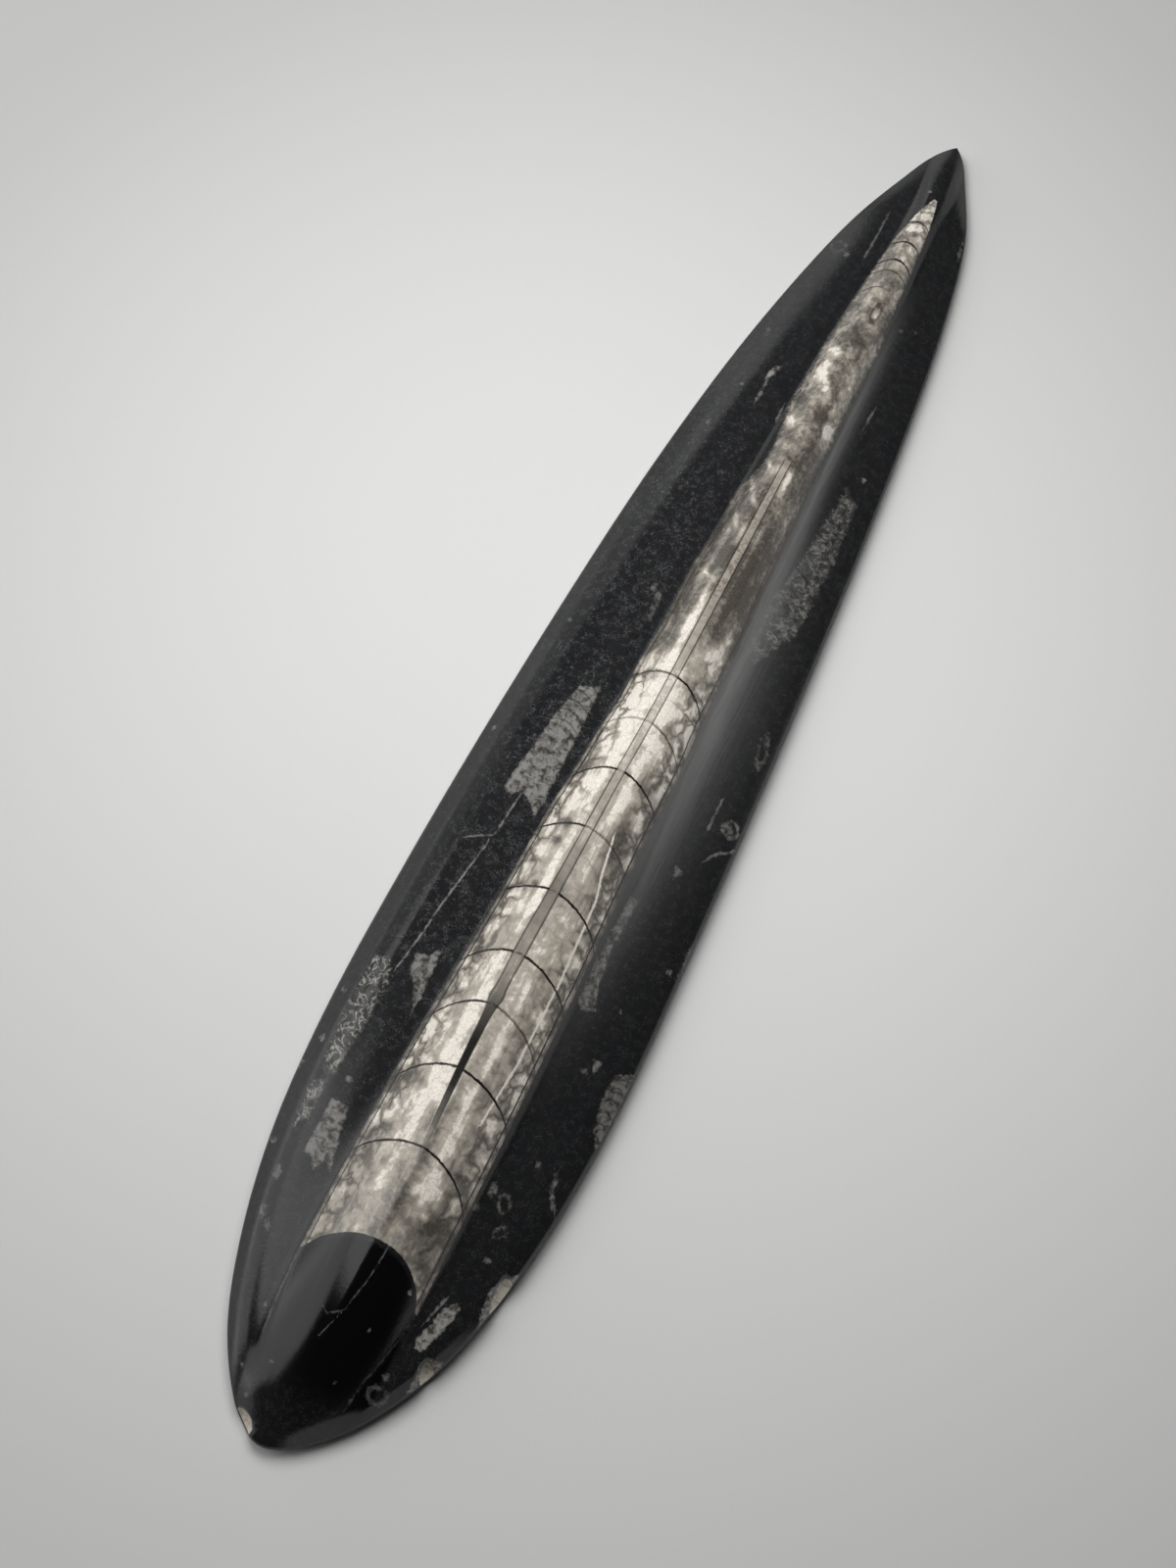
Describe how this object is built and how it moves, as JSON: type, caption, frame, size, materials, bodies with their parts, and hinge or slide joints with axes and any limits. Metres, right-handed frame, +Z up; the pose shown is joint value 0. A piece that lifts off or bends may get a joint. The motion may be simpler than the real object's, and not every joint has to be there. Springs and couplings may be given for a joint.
{
  "type": "orthoceras fossil",
  "caption": "Polished leaf-shaped stone with a straight-shelled fossil running along it as a low rib; it lies on its flat sawn face.",
  "frame": {"origin": "middle of the sawn face that the stone lies on, under the middle of its outline", "axes": "+Y along the shell towards its apex, +X to the right seen from above, +Z up"},
  "size_m": [0.048, 0.25, 0.0149],
  "materials": {
    "polished_stone": "black limestone ground by hand and polished, with the shell's white and brown calcite flush in it"
  },
  "bodies": {
    "root": {"fossil_stone": "polished_stone"}
  },
  "joints": []
}
